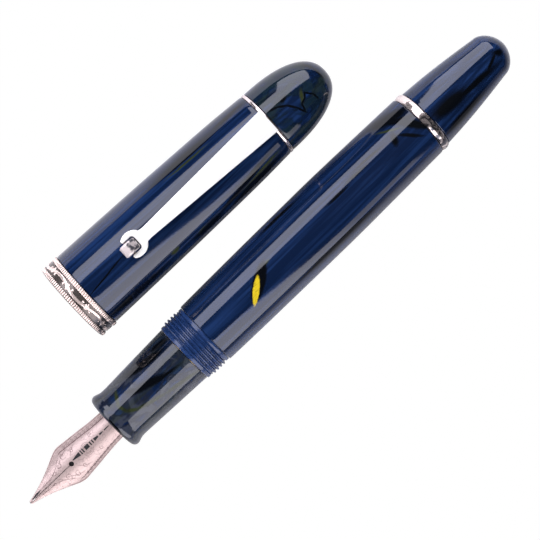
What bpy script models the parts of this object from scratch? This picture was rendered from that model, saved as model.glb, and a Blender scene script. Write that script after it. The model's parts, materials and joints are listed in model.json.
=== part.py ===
"""An oversize fountain pen lying uncapped, with its cap beside it.

The pen lies along X with the nib towards -X, and the cap lies beside it at +Y. +Z is up and the floor is
z = 0. Lengths in this file are millimetres, and mesh_object and place turn them into metres. A station on the
pen is its distance from the nib's tip, and a station on the cap is its distance from the cap's mouth.
"""

import math

import bmesh
import bpy
from mathutils import Matrix, Vector

MM = 0.001
SEAM = 0.1
MERGE_DISTANCE = 0.0005
SHARP_ANGLE = math.radians(30)
AROUND = 36
AROUND_SMALL = 24
DOME_STEPS = 9
RIDGE_SLOPE = 1.25
ROWS_PER_PITCH = 5
FADE_ROWS = 3

# Overall sizes
PEN_LENGTH = 134.0
CAP_LENGTH = 69.35
BARREL_RADIUS = 7.55
LIP_RADIUS = 9.12

# How the loose cap lies, measured from the pen's axis
CAP_MOUTH_STATION = 34.3
CAP_MOUTH_ASIDE = 23.1
CAP_TURN = math.radians(-1.52)

# A facet of each turned part faces straight down, so a round part stands this share of its radius high
FACET_SHARE = math.cos(math.pi / AROUND)
PEN_HEIGHT = BARREL_RADIUS * FACET_SHARE
CAP_HEIGHT = LIP_RADIUS * FACET_SHARE
PEN_Y = -(CAP_MOUTH_ASIDE + LIP_RADIUS - BARREL_RADIUS) / 2

# Nib and feed. Their outlines are (station, value) points that a smooth curve runs through.
NIB_REAR = 34.6
NIB_STATIONS = [
    0.3, 1.2, 2.5, 4.0, 5.7, 7.4, 9.0, 10.1, 10.9, 11.5, 12.1, 13.0, 14.6, 17.4, 20.4, 24.0, NIB_REAR,
]
NIB_HALF_WIDTH = [(0.3, 0.38), (2.0, 0.75), (5.0, 1.7), (8.0, 2.95), (10.1, 3.96), (11.1, 4.28), (11.9, 4.38),
                  (13.0, 4.27), (16.2, 3.96), (20.3, 3.52), (24.0, 3.36)]
NIB_CROWN = [(0.3, 0.55), (3.0, 1.35), (6.0, 2.15), (11.9, 3.35), (16.5, 3.66), (20.5, 3.75)]
NIB_CURVE_RADIUS = [(0.3, 0.8), (3.0, 2.2), (6.0, 3.6), (11.5, 5.2), (16.5, 4.4), (22.0, 3.75)]
NIB_STEPS_ACROSS = 10
NIB_SIDE_LIMIT = 0.98
NIB_CUT_REACH = 6.0
NIB_THICKNESS = 0.38
SHOULDER = 11.9
BREATHER_RADIUS = 0.52
SLIT_WIDTH = 0.12
PELLET_RADIUS = 0.36
PELLET_MIDDLE = (0.36, 0.0, -0.34)
FEED_GAP = 0.1
FEED_FRONT_STATIONS = [6.0, 6.8, 7.8, 9.3, 10.8, 12.8]
FEED_REAR_STATIONS = [21.4, 23.0, 24.2, NIB_REAR]
FEED_HALF_WIDTH = [(6.0, 0.35), (8.0, 1.0), (11.0, 2.0), (15.0, 2.75), (21.0, 3.2)]
FEED_DEPTH = [(6.0, 0.9), (8.0, 0.7), (11.0, -0.6), (15.0, -2.3), (20.0, -3.4), (23.0, -3.6)]
FEED_STEPS_ACROSS = 8
FIN_ZONE = (13.4, 21.4)
FIN_COUNT = 10
FIN_DEPTH = 0.7
FIN_EDGE = 0.02

# Grip section and what it holds. A profile is the (station, radius) points that a part is turned from.
SECTION_FRONT = 23.15
SECTION_REAR = 43.35
SECTION_BORE = 4.5
BUSH_SEAT = 4.95
BUSH_SEAT_FRONT = 37.5
SECTION_NOSE = [
    (SECTION_FRONT, 4.7), (SECTION_FRONT, 5.85), (23.35, 6.25), (23.75, 6.48), (24.2, 6.54), (24.8, 6.34),
]
SECTION_OUTLINE = [(25.5, 6.08), (28.5, 6.12), (34.0, 6.33), (SECTION_REAR, 6.65)]
SECTION_STATIONS = [25.5, 28.5, 34.0, 38.7, SECTION_REAR]
HOUSING_RADIUS = 4.4
NIB_SEAT_RADIUS = 3.95
NIPPLE_RADIUS = 1.7
INK_HOLE = 0.9
HOUSING_PROFILE = [
    (25.0, NIB_SEAT_RADIUS), (25.0, HOUSING_RADIUS), (37.2, HOUSING_RADIUS), (37.2, NIPPLE_RADIUS),
    (41.3, NIPPLE_RADIUS), (41.7, 1.45), (41.7, INK_HOLE), (35.0, INK_HOLE), (35.0, NIB_SEAT_RADIUS),
]
BUSH_PITCH = 1.0
BUSH_MAJOR = 5.45
BUSH_MINOR = 5.15
BUSH_BORE = 4.2
BUSH_FRONT = 37.6
BUSH_REAR = 51.6
BUSH_THREAD = (44.0, 50.0)

# Converter
CONVERTER_RADIUS = 3.4
CONVERTER_BORE = 2.7
CONVERTER_MOUTH = NIPPLE_RADIUS + 0.15
TUBE_PROFILE = [
    (38.7, CONVERTER_MOUTH), (38.7, 3.0), (39.3, CONVERTER_RADIUS), (70.0, CONVERTER_RADIUS), (70.0, 3.1),
    (79.4, 3.1), (79.4, CONVERTER_BORE), (43.5, CONVERTER_BORE), (43.5, CONVERTER_MOUTH),
]
SLEEVE_PROFILE = [
    (70.1, 3.2), (70.1, 3.7), (70.6, 3.8), (79.6, 3.8), (80.1, 3.7), (80.1, 2.75), (79.5, 2.75), (79.5, 3.2),
]
KNOB_PROFILE = [
    (92.5, 0.0), (92.5, 1.35), (70.5, 1.35), (70.5, 2.4), (80.3, 2.4), (80.3, 3.15), (81.0, 3.3), (96.2, 3.3),
    (97.0, 2.9), (97.0, 0.0),
]
SEAL_PROFILE = [
    (63.0, 0.0), (63.0, 1.9), (63.5, 2.6), (64.0, 2.6), (64.3, 2.25), (65.2, 2.25), (65.5, 2.6), (66.0, 2.6),
    (66.5, 2.2), (66.5, 0.0),
]
ROD_PROFILE = [(66.6, 0.0), (66.6, 1.9), (67.2, 1.9), (67.2, 1.2), (91.0, 1.2), (91.4, 0.9), (91.4, 0.0)]

# Barrel and what is fixed to it
THREAD_PITCH = 0.85
THREAD_MAJOR = 7.22
THREAD_MINOR = 6.76
COLLAR_THREAD = (44.3, 48.4)
COLLAR_FRONT = 43.45
COLLAR_RELIEF = 7.02
COLLAR_TENON = 6.2
BARREL_FRONT = 49.3
BARREL_REAR = 109.65
BARREL_BORE = 5.6
BARREL_END_WALL = 108.2
TENON_REAR = 57.0
SCREW_HOLE = 2.5
COLLAR_NOSE = [(COLLAR_FRONT, BARREL_BORE), (COLLAR_FRONT, 6.8), (43.6, 6.92), (44.2, 6.92)]
BARREL_OUTLINE = [(49.3, 7.25), (58.0, 7.38), (68.0, 7.47), (78.0, 7.53), (86.0, BARREL_RADIUS), (98.0, 7.38),
                  (110.0, 7.17)]
BARREL_STATIONS = [58.0, 68.0, 78.0, 86.0, 92.0, 98.0, 104.0, BARREL_REAR - 0.1]
RING_PROFILE = [
    (109.75, SCREW_HOLE), (109.75, 6.8), (109.9, 7.02), (110.2, 7.18), (110.7, 7.24), (111.2, 7.18),
    (111.5, 7.02), (111.65, 6.8), (111.65, SCREW_HOLE),
]
TAIL_FRONT = 111.75
TAIL_OUTLINE = [(111.7, 6.85), (117.7, 6.42), (123.8, 5.75), (130.0, 4.92)]
TAIL_STATIONS = [111.9, 115.7, 119.7, 123.8, 127.0]
TAIL_FULLNESS = 1.8
TAIL_SCREW_PROFILE = [
    (107.0, 0.0), (107.0, 3.7), (107.3, 4.0), (108.1, 4.0), (108.1, 2.4), (119.2, 2.4), (119.6, 2.0),
    (119.6, 0.0),
]

# Cap, from its mouth
CAP_OUTLINE = [(4.0, 8.78), (12.5, 8.67), (24.5, 8.48), (35.0, 8.24), (45.0, 7.96), (53.0, 7.54)]
CAP_REAR = 53.0
CAP_STATIONS = [4.25, 12.5, 24.5, 35.0, 45.0, CAP_REAR - 0.1]
CAP_END_WALL = 52.2
CAP_BORE_STEP = 28.2
LINER_BORE = 6.55
CAP_BORE = 7.28
STUD_HOLE = 2.35
CAP_THREAD = (1.7, 6.6)
CAP_THREAD_MINOR = 6.98
CAP_THREAD_MAJOR = 7.4
CAP_NOSE = [(0.6, 7.5), (0.6, 8.25), (3.95, 8.25), (4.1, 8.62)]
BAND_REAR = 4.0
BAND_PROFILE = [
    (0.0, 7.6), (0.0, 8.8), (0.2, 9.0), (0.6, 9.08), (1.0, 9.0), (1.2, 8.78), (2.9, 8.78), (3.1, 9.02),
    (3.45, LIP_RADIUS), (3.8, 9.02), (BAND_REAR, 8.75), (BAND_REAR, 8.35), (0.5, 8.35), (0.5, 7.6),
]
LINER_PROFILE = [
    (50.4, 0.0), (50.4, 5.6), (27.6, 5.6), (27.0, 6.72), (10.0, 6.72), (10.0, 7.18), (28.0, 7.18),
    (28.0, 6.45), (51.0, 6.45), (51.0, 0.0),
]
STUD_PROFILE = [
    (51.1, 0.0), (51.1, 4.2), (51.4, 4.5), (52.1, 4.5), (52.1, 2.2), (60.7, 2.2), (61.1, 1.8), (61.1, 0.0),
]
CLIP_RING_FRONT = 53.1
CLIP_RING_REAR = 53.8
CLIP_RING_PROFILE = [
    (CLIP_RING_FRONT, STUD_HOLE), (CLIP_RING_FRONT, 7.5), (53.2, 7.58), (53.7, 7.57), (CLIP_RING_REAR, 7.5),
    (CLIP_RING_REAR, STUD_HOLE),
]
FINIAL_FRONT = 53.9
FINIAL_RADIUS = 7.47
FINIAL_FULLNESS = 2.35
FINIAL_SOCKET = 61.5

# Clip, whose own frame has its origin on the hinge line and x pointing away from the mouth
CLIP_HINGE = (53.45, 0.0, 7.98)
CLIP_SLOPE = math.radians(3.6)
CLIP_THICKNESS = 0.9
CLIP_BOTTOM = -0.2
CLIP_ROOT_WIDTH = 5.4
CLIP_NECK_WIDTH = 2.55
CLIP_NECK = 33.6
CLIP_EYE = 36.2
CLIP_EYE_RADIUS = 2.75
CLIP_END = 37.9
CLIP_SLOT_WIDTH = 3.1
CLIP_SLOT_END = 35.3
EYE_STEPS = 9
TANG_LOW = (-0.2, -1.0, -1.25)
TANG_HIGH = (0.2, 1.0, 0.1)
NOTCH_LOW = (52.5, -1.15, 6.48)
NOTCH_HIGH = (54.5, 1.15, 9.0)
ROLLER_REACH = 37.3
ROLLER_RADIUS = 1.8
ROLLER_WIDTH = 2.5
ROLLER_EDGE = 0.25
ROLLER_BORE = 0.38
ROLLER_PIN_RADIUS = 0.3
ROLLER_PIN_LENGTH = 4.6
PIN_HOLE = 0.35
PIN_SEGMENTS = 12


def clear_scene():
    for obj in list(bpy.data.objects):
        bpy.data.objects.remove(obj)


def material(name, colour, roughness, metallic=0.0, alpha=1.0):
    made = bpy.data.materials.new(name)
    made.use_nodes = True
    shader = made.node_tree.nodes["Principled BSDF"]
    shader.inputs["Base Color"].default_value = (*colour, 1.0)
    shader.inputs["Roughness"].default_value = roughness
    shader.inputs["Metallic"].default_value = metallic
    shader.inputs["Alpha"].default_value = alpha
    return made


def mesh_object(name, bm, finish, parent, smooth=True):
    """Turns a bmesh in millimetres into a named object in metres under its parent empty."""
    bmesh.ops.remove_doubles(bm, verts=bm.verts, dist=MERGE_DISTANCE)
    bmesh.ops.recalc_face_normals(bm, faces=bm.faces)
    bmesh.ops.transform(bm, matrix=Matrix.Scale(MM, 4), verts=bm.verts)
    mesh = bpy.data.meshes.new(name)
    bm.to_mesh(mesh)
    bm.free()
    if smooth:
        mesh.shade_smooth()
        mesh.set_sharp_from_angle(angle=SHARP_ANGLE)
    mesh.materials.append(finish)
    obj = bpy.data.objects.new(name, mesh)
    bpy.context.scene.collection.objects.link(obj)
    obj.parent = parent
    return obj


def place(name, location, parent=None, rotation=(0.0, 0.0, 0.0)):
    """An empty at a location in millimetres."""
    empty = bpy.data.objects.new(name, None)
    bpy.context.scene.collection.objects.link(empty)
    empty.location = Vector(location) * MM
    empty.rotation_euler = rotation
    empty.parent = parent
    return empty


def cutter(name, bm, parent):
    obj = mesh_object(name, bm, METAL, parent, smooth=False)
    obj.hide_render = True
    obj.display_type = "WIRE"
    return obj


def block(low, high):
    """A box between two corners."""
    bm = bmesh.new()
    middle = [(a + b) / 2 for a, b in zip(low, high)]
    size = [b - a for a, b in zip(low, high)]
    bmesh.ops.create_cube(bm, size=1.0, matrix=Matrix.Translation(middle) @ Matrix.Diagonal((*size, 1.0)))
    return bm


def rod(radius, length, middle, segments, sideways=False):
    """A cylinder along Z, or along Y if it is sideways."""
    bm = bmesh.new()
    turn = Matrix.Rotation(math.pi / 2 if sideways else 0.0, 4, "X")
    bmesh.ops.create_cone(
        bm, cap_ends=True, segments=segments, radius1=radius, radius2=radius, depth=length,
        matrix=Matrix.Translation(middle) @ turn,
    )
    return bm


def combine(obj, tool, operation="DIFFERENCE"):
    made = obj.modifiers.new("with_" + tool.name, "BOOLEAN")
    made.operation = operation
    made.solver = "EXACT"
    made.object = tool


def turned(name, profile, finish, parent, around=AROUND):
    """A solid of revolution about X from a profile of (station, radius) points. A profile that starts and
    ends on the axis is solid; any other is closed from its last point to its first, round a bore."""
    bm = bmesh.new()
    half = math.pi / around
    verts = [bm.verts.new((x, r * math.sin(half), r * math.cos(half))) for x, r in profile]
    pairs = list(zip(verts, verts[1:]))
    if profile[0][1] > 0:
        pairs.append((verts[-1], verts[0]))
    edges = [bm.edges.new(pair) for pair in pairs]
    bmesh.ops.spin(
        bm,
        geom=verts + edges,
        cent=(0, 0, 0),
        axis=(1, 0, 0),
        angle=2 * math.pi,
        steps=around,
        use_merge=True,
    )
    return mesh_object(name, bm, finish, parent)


def ridge(phase):
    """Height from 0 to 1 of a flat-topped V thread at a phase counted in pitches."""
    return min(1.0, RIDGE_SLOPE * (1 - abs(2 * (phase % 1.0) - 1)))


def screw_rows(start, end, minor, major, pitch):
    """Rows of (station, minor radius, ridge height, pitch) for a thread that fades in and out at its ends."""
    count = round((end - start) / pitch * ROWS_PER_PITCH)
    rows = []
    for i in range(count + 1):
        fade = min(1.0, i / FADE_ROWS, (count - i) / FADE_ROWS)
        rows.append((start + (end - start) * i / count, minor, (major - minor) * fade, pitch))
    return rows


def threaded(name, rows, finish, parent, around=AROUND):
    """As turned, round a bore, but a row may be (station, radius, ridge height, pitch), a thread's helix."""
    bm = bmesh.new()
    rings = []
    for row in rows:
        station, radius, height, pitch = (*row, 0.0, 1.0)[:4]
        ring = []
        for j in range(around):
            angle = 2 * math.pi * (j + 0.5) / around
            r = radius + height * ridge(station / pitch - angle / (2 * math.pi))
            ring.append(bm.verts.new((station, r * math.sin(angle), r * math.cos(angle))))
        rings.append(ring)
    for ring, following in zip(rings, rings[1:] + rings[:1]):
        for j in range(around):
            k = (j + 1) % around
            bm.faces.new((ring[j], ring[k], following[k], following[j]))
    return mesh_object(name, bm, finish, parent)


def loft(name, sections, finish, parent):
    """A closed solid through cross-sections that have the same number of points."""
    bm = bmesh.new()
    loops = [[bm.verts.new(point) for point in section] for section in sections]
    for loop, following in zip(loops, loops[1:]):
        for j, vert in enumerate(loop):
            k = (j + 1) % len(loop)
            bm.faces.new((vert, loop[k], following[k], following[j]))
    bm.faces.new(loops[0])
    bm.faces.new(reversed(loops[-1]))
    return mesh_object(name, bm, finish, parent)


def plate(name, outline, bottom, top, finish, parent):
    """A flat plate from an outline of (x, y) points, extruded from bottom to top."""
    bm = bmesh.new()
    face = bm.faces.new([bm.verts.new((x, y, bottom)) for x, y in outline])
    grown = bmesh.ops.extrude_face_region(bm, geom=[face])["geom"]
    moved = [item for item in grown if isinstance(item, bmesh.types.BMVert)]
    bmesh.ops.translate(bm, verts=moved, vec=(0, 0, top - bottom))
    return mesh_object(name, bm, finish, parent, smooth=False)


def curve_through(points, x):
    """The value at x of a smooth curve through (x, value) points, flat beyond its ends."""
    if x <= points[0][0]:
        return points[0][1]
    if x >= points[-1][0]:
        return points[-1][1]
    slopes = []
    for i in range(len(points)):
        a, b = points[max(i - 1, 0)], points[min(i + 1, len(points) - 1)]
        slopes.append((b[1] - a[1]) / (b[0] - a[0]))
    i = next(i for i in range(len(points) - 1) if x <= points[i + 1][0])
    (x0, y0), (x1, y1) = points[i], points[i + 1]
    width = x1 - x0
    t = (x - x0) / width
    rise = (1 + 2 * t) * (1 - t) ** 2 * y0 + t * t * (3 - 2 * t) * y1
    return rise + width * (t * (1 - t) ** 2 * slopes[i] - t * t * (1 - t) * slopes[i + 1])


def steps(start, end, count):
    return [start + (end - start) * i / count for i in range(count + 1)]


def dome_points(start, end, radius, fullness):
    """A rounded end closing on the axis, an ellipse at fullness 2 and squarer above it."""
    points = []
    for turn in steps(0, math.pi / 2, DOME_STEPS):
        share = math.sin(turn) ** (2 / fullness)
        points.append((start + (end - start) * share, radius * max(0.0, math.cos(turn)) ** (2 / fullness)))
    return points[:-1] + [(end, 0.0)]


def nib_height(station, y, below=0.0):
    """Height above the pen's axis of the nib's upper surface, or of a surface that far below it."""
    radius = curve_through(NIB_CURVE_RADIUS, station) - below
    reach = min(abs(y), NIB_SIDE_LIMIT * radius)
    crown = curve_through(NIB_CROWN, station) - below
    return crown - radius + math.sqrt(radius * radius - reach * reach)


def nib(parent):
    """A curved sheet with its slit and breather hole, and the hard pellet welded under the tip."""
    sections = []
    for station in NIB_STATIONS:
        half = curve_through(NIB_HALF_WIDTH, station)
        edge = half - min(NIB_THICKNESS, half / 2)
        upper = [half * y for y in steps(-1, 1, NIB_STEPS_ACROSS)]
        lower = [edge * y for y in steps(1, -1, NIB_STEPS_ACROSS)]
        sections.append(
            [(station, y, nib_height(station, y)) for y in upper]
            + [(station, y, nib_height(station, y, NIB_THICKNESS)) for y in lower]
        )
    sheet = loft("nib", sections, STEEL, parent)
    hole = rod(BREATHER_RADIUS, 2 * NIB_CUT_REACH, (SHOULDER, 0, 0), AROUND_SMALL)
    combine(sheet, cutter("breather_cutter", hole, parent))
    slit = block((-1, -SLIT_WIDTH / 2, -NIB_CUT_REACH), (SHOULDER, SLIT_WIDTH / 2, NIB_CUT_REACH))
    combine(sheet, cutter("slit_cutter", slit, parent))
    tip = bmesh.new()
    bmesh.ops.create_uvsphere(
        tip,
        u_segments=AROUND_SMALL // 2,
        v_segments=AROUND_SMALL // 3,
        radius=PELLET_RADIUS,
        matrix=Matrix.Translation(PELLET_MIDDLE),
    )
    mesh_object("nib_tip_pellet", tip, METAL, parent)


def feed(parent):
    """The black plastic feed: its top nests under the nib and its belly carries a comb of fins."""
    rows = [(station, 0.0) for station in FEED_FRONT_STATIONS]
    pitch = (FIN_ZONE[1] - FIN_ZONE[0]) / FIN_COUNT
    for i in range(FIN_COUNT):
        start = FIN_ZONE[0] + i * pitch
        middle = start + pitch / 2
        rows += [(start, 0.0), (start + FIN_EDGE, FIN_DEPTH), (middle, FIN_DEPTH), (middle + FIN_EDGE, 0.0)]
    rows += [(station, 0.0) for station in FEED_REAR_STATIONS]
    below = NIB_THICKNESS + FEED_GAP
    sections = []
    for station, inset in rows:
        half = curve_through(FEED_HALF_WIDTH, station) - inset / 2
        depth = curve_through(FEED_DEPTH, station) + inset
        across = [half * y for y in steps(-1, 1, FEED_STEPS_ACROSS)]
        top = [(station, y, nib_height(station, y, below)) for y in across]
        side = top[-1][2]
        belly = []
        for turn in steps(0, math.pi, FEED_STEPS_ACROSS + 2)[1:-1]:
            belly.append((station, half * math.cos(turn), side + (depth - side) * math.sin(turn)))
        sections.append(top + belly)
    loft("feed", sections, BLACK, parent)


def grip_unit(parent):
    """What stays together when the barrel is unscrewed, apart from the converter."""
    grip = [(x, curve_through(SECTION_OUTLINE, x)) for x in SECTION_STATIONS]
    bore = [
        (SECTION_REAR, BUSH_SEAT), (BUSH_SEAT_FRONT, BUSH_SEAT), (BUSH_SEAT_FRONT, SECTION_BORE),
        (SECTION_FRONT + 2 * SEAM, SECTION_BORE),
    ]
    turned("section", SECTION_NOSE + grip + bore, RESIN, parent)
    nib(parent)
    feed(parent)
    turned("nib_housing", HOUSING_PROFILE, BLACK, parent, AROUND_SMALL)
    seat = BUSH_SEAT - SEAM
    threaded("section_thread_bush", [
        (BUSH_FRONT, BUSH_BORE), (BUSH_FRONT, seat), (SECTION_REAR + SEAM, seat),
        (SECTION_REAR + SEAM, BUSH_MINOR),
        *screw_rows(*BUSH_THREAD, BUSH_MINOR, BUSH_MAJOR, BUSH_PITCH),
        (BUSH_REAR - SEAM, BUSH_MINOR), (BUSH_REAR, seat), (BUSH_REAR, BUSH_BORE),
    ], BRASS, parent, AROUND_SMALL)


def converter(body, knob, piston):
    """The screw-piston ink converter that plugs on to the housing's nipple."""
    turned("converter_tube", TUBE_PROFILE, CLEAR, body, AROUND_SMALL)
    turned("converter_sleeve", SLEEVE_PROFILE, METAL, body, AROUND_SMALL)
    turned("converter_knob", KNOB_PROFILE, BLACK, knob, AROUND_SMALL)
    turned("piston_seal", SEAL_PROFILE, RUBBER, piston, AROUND_SMALL)
    turned("piston_rod", ROD_PROFILE, PALE, piston, AROUND_SMALL)


def barrel_unit(parent):
    """What is drawn off the grip unit to reach the converter."""
    shoulder = BARREL_FRONT - SEAM
    threaded("thread_collar", [
        *COLLAR_NOSE,
        *screw_rows(*COLLAR_THREAD, THREAD_MINOR, THREAD_MAJOR, THREAD_PITCH),
        (COLLAR_THREAD[1] + SEAM, COLLAR_RELIEF), (shoulder, COLLAR_RELIEF), (shoulder, COLLAR_TENON),
        (TENON_REAR, COLLAR_TENON), (TENON_REAR, BARREL_BORE),
    ], BLUE, parent)
    outside = [(x, curve_through(BARREL_OUTLINE, x)) for x in BARREL_STATIONS]
    front, rear = BARREL_OUTLINE[0][1], outside[-1][1]
    socket = COLLAR_TENON + SEAM
    turned("barrel", [
        (BARREL_FRONT, socket), (BARREL_FRONT, front - SEAM), (BARREL_FRONT + SEAM, front), *outside,
        (BARREL_REAR, rear - SEAM), (BARREL_REAR, SCREW_HOLE), (BARREL_END_WALL, SCREW_HOLE),
        (BARREL_END_WALL, BARREL_BORE), (TENON_REAR + SEAM, BARREL_BORE), (TENON_REAR + SEAM, socket),
    ], RESIN, parent)
    turned("tail_ring", RING_PROFILE, METAL, parent)
    cone = [(x, curve_through(TAIL_OUTLINE, x)) for x in TAIL_STATIONS]
    dome = dome_points(TAIL_OUTLINE[-1][0], PEN_LENGTH, TAIL_OUTLINE[-1][1], TAIL_FULLNESS)
    socket_end = TAIL_STATIONS[2]
    turned("barrel_tail", [
        (socket_end, 0.0), (socket_end, SCREW_HOLE), (TAIL_FRONT, SCREW_HOLE),
        (TAIL_FRONT, cone[0][1] - SEAM), *cone, *dome,
    ], RESIN, parent)
    turned("tail_screw", TAIL_SCREW_PROFILE, BRASS, parent, AROUND_SMALL)


def cap_unit(parent):
    """The cap, its metal fittings and its liner."""
    outside = [(x, curve_through(CAP_OUTLINE, x)) for x in CAP_STATIONS]
    threaded("cap_shell", [
        *CAP_NOSE, *outside, (CAP_REAR, outside[-1][1] - SEAM), (CAP_REAR, STUD_HOLE),
        (CAP_END_WALL, STUD_HOLE), (CAP_END_WALL, LINER_BORE), (CAP_BORE_STEP, LINER_BORE),
        (CAP_BORE_STEP, CAP_BORE),
        (CAP_THREAD[1] + 3 * SEAM, CAP_BORE),
        *reversed(screw_rows(*CAP_THREAD, CAP_THREAD_MAJOR, CAP_THREAD_MINOR, THREAD_PITCH)),
        (CAP_THREAD[0] - 2 * SEAM, CAP_THREAD_MAJOR + SEAM),
    ], RESIN, parent)
    turned("cap_band", BAND_PROFILE, METAL, parent)
    turned("inner_cap", LINER_PROFILE, BLACK, parent)
    turned("cap_stud", STUD_PROFILE, BRASS, parent, AROUND_SMALL)
    ring = turned("clip_ring", CLIP_RING_PROFILE, METAL, parent)
    combine(ring, cutter("tang_notch", block(NOTCH_LOW, NOTCH_HIGH), parent))
    dome = dome_points(FINIAL_FRONT + SEAM, CAP_LENGTH, FINIAL_RADIUS, FINIAL_FULLNESS)
    turned("cap_finial", [
        (FINIAL_SOCKET, 0.0), (FINIAL_SOCKET, STUD_HOLE), (FINIAL_FRONT, STUD_HOLE),
        (FINIAL_FRONT, FINIAL_RADIUS - SEAM), *dome,
    ], RESIN, parent)


def clip_outline():
    """Points (x, y), x measured back from the hinge: a tapering arm, then a round eye cut off and slotted."""
    start = math.atan2(CLIP_NECK_WIDTH / 2, CLIP_EYE - CLIP_NECK)
    end = math.acos((CLIP_EYE - CLIP_END) / CLIP_EYE_RADIUS)
    half = [(0.0, CLIP_ROOT_WIDTH / 2), (-CLIP_NECK, CLIP_NECK_WIDTH / 2)]
    for turn in steps(start, end, EYE_STEPS)[1:]:
        half.append((-CLIP_EYE + CLIP_EYE_RADIUS * math.cos(turn), CLIP_EYE_RADIUS * math.sin(turn)))
    half += [(-CLIP_END, CLIP_SLOT_WIDTH / 2), (-CLIP_SLOT_END, CLIP_SLOT_WIDTH / 2)]
    return half + [(x, -y) for x, y in reversed(half)]


def clip_unit(clip, roller):
    """The spring arm and the roller that turns on its pin in the arm's eye."""
    arm = plate("clip_arm", clip_outline(), CLIP_BOTTOM, CLIP_BOTTOM + CLIP_THICKNESS, METAL, clip)
    combine(arm, cutter("clip_tang", block(TANG_LOW, TANG_HIGH), clip), "UNION")
    middle = (-ROLLER_REACH, 0, CLIP_BOTTOM + CLIP_THICKNESS / 2)
    bore = rod(PIN_HOLE, 2 * CLIP_ROOT_WIDTH, middle, PIN_SEGMENTS, sideways=True)
    combine(arm, cutter("pin_cutter", bore, clip))
    pin = rod(ROLLER_PIN_RADIUS, ROLLER_PIN_LENGTH, middle, PIN_SEGMENTS, sideways=True)
    mesh_object("roller_pin", pin, METAL, clip)
    half, shoulder = ROLLER_WIDTH / 2, ROLLER_RADIUS - ROLLER_EDGE
    wheel = turned("clip_roller", [
        (-half, ROLLER_BORE), (-half, shoulder), (-half + ROLLER_EDGE, ROLLER_RADIUS),
        (half - ROLLER_EDGE, ROLLER_RADIUS), (half, shoulder), (half, ROLLER_BORE),
    ], METAL, roller, AROUND_SMALL)
    wheel.rotation_euler = (0.0, 0.0, math.pi / 2)


clear_scene()

RESIN = material("swirled_resin", (0.016, 0.045, 0.16), 0.12)
BLUE = material("plain_blue_resin", (0.02, 0.07, 0.2), 0.2)
METAL = material("bright_plating", (0.86, 0.82, 0.8), 0.12, metallic=1.0)
STEEL = material("nib_steel", (0.82, 0.74, 0.72), 0.22, metallic=1.0)
BRASS = material("brass", (0.72, 0.55, 0.28), 0.3, metallic=1.0)
BLACK = material("black_plastic", (0.02, 0.02, 0.022), 0.4)
CLEAR = material("clear_plastic", (0.85, 0.88, 0.9), 0.08, alpha=0.35)
RUBBER = material("seal_rubber", (0.05, 0.05, 0.055), 0.6)
PALE = material("pale_plastic", (0.8, 0.8, 0.78), 0.4)

pen = place("pen_axis", (-PEN_LENGTH / 2, PEN_Y, PEN_HEIGHT))
barrel_slide = place("barrel_slide", (0, 0, 0), pen)
converter_slide = place("converter_slide", (0, 0, 0), pen)
knob_axis = place("knob_axis", (0, 0, 0), converter_slide)
piston_slide = place("piston_slide", (0, 0, 0), converter_slide)
cap = place(
    "cap_axis",
    (CAP_MOUTH_STATION - PEN_LENGTH / 2, PEN_Y + CAP_MOUTH_ASIDE, CAP_HEIGHT),
    rotation=(0.0, 0.0, CAP_TURN),
)
clip_hinge = place("clip_hinge", CLIP_HINGE, cap, (0.0, CLIP_SLOPE, 0.0))
roller_axle = place("roller_axle", (-ROLLER_REACH, 0, CLIP_BOTTOM + CLIP_THICKNESS / 2), clip_hinge)

grip_unit(pen)
converter(converter_slide, knob_axis, piston_slide)
barrel_unit(barrel_slide)
cap_unit(cap)
clip_unit(clip_hinge, roller_axle)
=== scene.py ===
import json
import math

import bmesh
import bpy
from mathutils import Matrix, Vector


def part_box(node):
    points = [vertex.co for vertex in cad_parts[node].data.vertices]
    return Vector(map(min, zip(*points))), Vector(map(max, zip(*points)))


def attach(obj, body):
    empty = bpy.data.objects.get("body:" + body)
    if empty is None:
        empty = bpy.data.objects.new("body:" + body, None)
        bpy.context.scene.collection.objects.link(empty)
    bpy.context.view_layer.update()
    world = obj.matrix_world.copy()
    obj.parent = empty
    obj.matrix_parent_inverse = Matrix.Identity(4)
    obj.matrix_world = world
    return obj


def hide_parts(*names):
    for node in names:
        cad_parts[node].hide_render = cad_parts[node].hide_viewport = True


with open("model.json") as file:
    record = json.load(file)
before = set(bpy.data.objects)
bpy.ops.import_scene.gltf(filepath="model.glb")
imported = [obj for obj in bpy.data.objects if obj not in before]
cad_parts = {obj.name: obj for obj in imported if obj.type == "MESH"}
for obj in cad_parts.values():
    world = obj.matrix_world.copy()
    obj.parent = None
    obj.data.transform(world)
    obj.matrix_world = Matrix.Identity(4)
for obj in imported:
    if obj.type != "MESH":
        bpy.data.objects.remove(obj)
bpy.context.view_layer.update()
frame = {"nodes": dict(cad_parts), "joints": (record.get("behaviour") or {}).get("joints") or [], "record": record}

MM = 0.001
TAU = 2 * math.pi

# ---------------- where the frame puts the pen and the cap
# Pieces are made in millimetres in one of four frames: the pen's, with x counted back from the nib's tip,
# the cap's, with x counted from its mouth, the clip's, with x counted from its hinge, and the roller's, with
# x along its pin. A round part's axis lies along x.
PEN_LENGTH = 134.0
CLIP_SLOPE = math.radians(3.6)

joints = {joint["name"]: joint for joint in frame["joints"]}
mounts = {mount["name"]: mount for mount in frame["record"]["mounts"]}


def middle(node):
    low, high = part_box(node)
    return (low + high) / 2


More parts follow.
